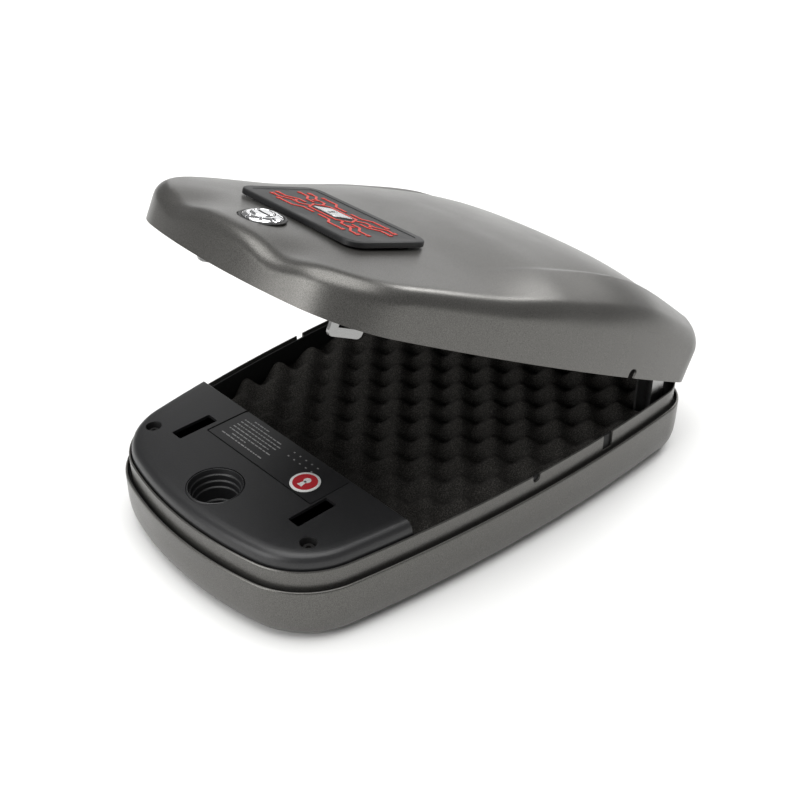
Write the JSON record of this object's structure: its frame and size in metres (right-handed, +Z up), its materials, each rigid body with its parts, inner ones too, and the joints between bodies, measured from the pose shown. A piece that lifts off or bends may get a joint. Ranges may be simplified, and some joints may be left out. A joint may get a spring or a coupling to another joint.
{
  "type": "gun safe",
  "caption": "Small steel pistol safe with a rear-hinged domed lid, reader pad, key lock, motor latch, black control cover and egg-crate foam, shown with the lid open.",
  "frame": {"origin": "under the middle of the base, on the surface that the safe stands on", "axes": "+Z up, the lock end faces -Y, the hinge end faces +Y, +X is to the right when facing the lock end"},
  "size_m": [0.2268, 0.346, 0.2107],
  "materials": {
    "gunmetal_paint": "fine-grained metallic powder coat",
    "zinc_steel": "zinc plated",
    "black_steel": "black oxide",
    "black_plastic": "satin moulded",
    "rubber": "matte",
    "pad_rubber": "satin",
    "foam": "open-cell foam",
    "label_film": "printed film",
    "red_ink": "printed",
    "silver_ink": "printed",
    "chrome": "polished",
    "brass": "machined",
    "board": "solder mask",
    "cell_wrap": "shrink wrap"
  },
  "bodies": {
    "base": {"base_shell": "gunmetal_paint", "inner_collar": "gunmetal_paint", "seam_gasket": "rubber", "base_liner": "black_plastic", "base_foam": "foam", "front_cover": "black_plastic", "cover_screw_left": "black_steel", "cover_screw_right": "black_steel", "lock_receiver": "black_plastic", "label_plate": "label_film", "round_seal": "red_ink", "latch_guide": "black_plastic", "latch_motor": "zinc_steel", "circuit_board": "board", "battery_holder": "black_plastic", "battery_cell_1": "cell_wrap", "battery_cell_2": "cell_wrap", "battery_cell_3": "cell_wrap", "battery_cell_4": "cell_wrap", "battery_hatch": "black_plastic", "hatch_screw": "black_steel", "power_inlet": "black_plastic", "foot_front_left": "rubber", "foot_front_right": "rubber", "foot_rear_left": "rubber", "foot_rear_right": "rubber", "stop_post_left": "zinc_steel", "stop_post_right": "zinc_steel", "stop_bumper_left": "rubber", "stop_bumper_right": "rubber", "hinge_base_left": "black_steel", "hinge_base_right": "black_steel", "hinge_pin_left": "zinc_steel", "hinge_pin_right": "zinc_steel", "hinge_spring_left": "zinc_steel", "hinge_spring_right": "zinc_steel"},
    "lid": {"lid_shell": "gunmetal_paint", "lid_liner": "black_plastic", "lid_foam": "foam", "latch_hook_left": "zinc_steel", "latch_hook_right": "zinc_steel", "reader_pad": "pad_rubber", "pad_traces": "red_ink", "pad_emblem": "silver_ink", "reader_board": "board", "lock_bezel": "chrome", "lock_barrel": "zinc_steel", "lock_nut": "zinc_steel", "hinge_lid_left": "black_steel", "hinge_lid_right": "black_steel"},
    "lock_plug": {"lock_plug": "chrome", "lock_cam": "zinc_steel"},
    "latch": {"latch_bar": "zinc_steel"},
    "pinion": {"motor_pinion": "brass"}
  },
  "joints": [
    {"name": "lid_hinge", "type": "hinge", "parent": "base", "child": "lid", "pos_m": [0, 0.1738, 0.0401], "axis": [-1, 0, 0], "range_deg": [-27.3, 45]},
    {"name": "lock_turn", "type": "hinge", "parent": "lid", "child": "lock_plug", "pos_m": [0, -0.09181, 0.20422], "axis": [0, 0.23, 0.9732], "range_deg": [0, 90]},
    {"name": "latch_slide", "type": "slide", "parent": "base", "child": "latch", "axis": [1, 0, 0], "range_m": [0, 0.006]},
    {"name": "pinion_spin", "type": "hinge", "parent": "base", "child": "pinion", "pos_m": [0.04, -0.0865, 0.031], "axis": [0, 0, 1], "range_deg": [-15, 105]}
  ],
  "couplings": [
    {"joint": "pinion_spin", "follows": "latch_slide", "rad_per_m": 250}
  ]
}
